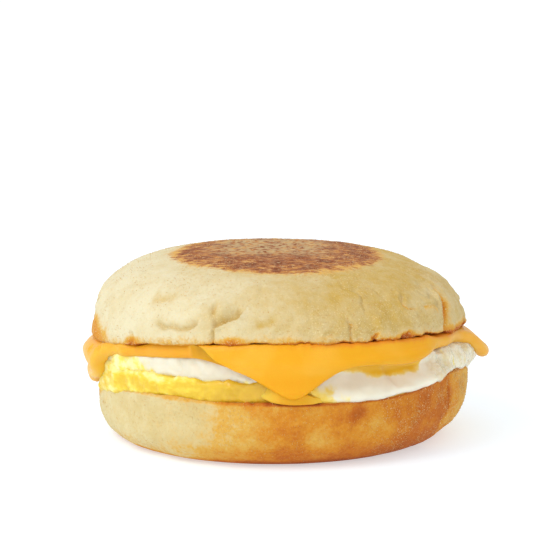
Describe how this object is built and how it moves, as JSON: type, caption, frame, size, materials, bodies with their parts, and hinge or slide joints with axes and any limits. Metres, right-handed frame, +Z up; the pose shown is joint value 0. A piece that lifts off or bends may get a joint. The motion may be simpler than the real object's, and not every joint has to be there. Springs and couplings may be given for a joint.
{
  "type": "breakfast sandwich",
  "caption": "Breakfast sandwich: a split muffin with a browned top holds a cooked egg, its broken yolk showing at one side, under a melted square slice of cheese whose corners hang out.",
  "frame": {"origin": "middle of the muffin's foot, on the surface it stands on", "axes": "+Z up through the layers; the front, over which one corner of the cheese hangs, faces -Y; +X is to the right of someone who faces it"},
  "size_m": [0.1067, 0.1052, 0.0481],
  "materials": {
    "crown": "dry pale crumbly crust, toasted at the torn rim, with a browned griddle patch on top",
    "cheese": "soft satin melted cheese",
    "egg_white": "moist satin cooked egg white",
    "egg_yolk": "moist grainy cooked yolk",
    "heel": "dry crust, cream on one side and toasted golden brown on the other"
  },
  "bodies": {
    "root": {"muffin_crown": "crown", "cheese_slice": "cheese", "egg_white": "egg_white", "egg_yolk": "egg_yolk", "muffin_heel": "heel"}
  },
  "joints": []
}
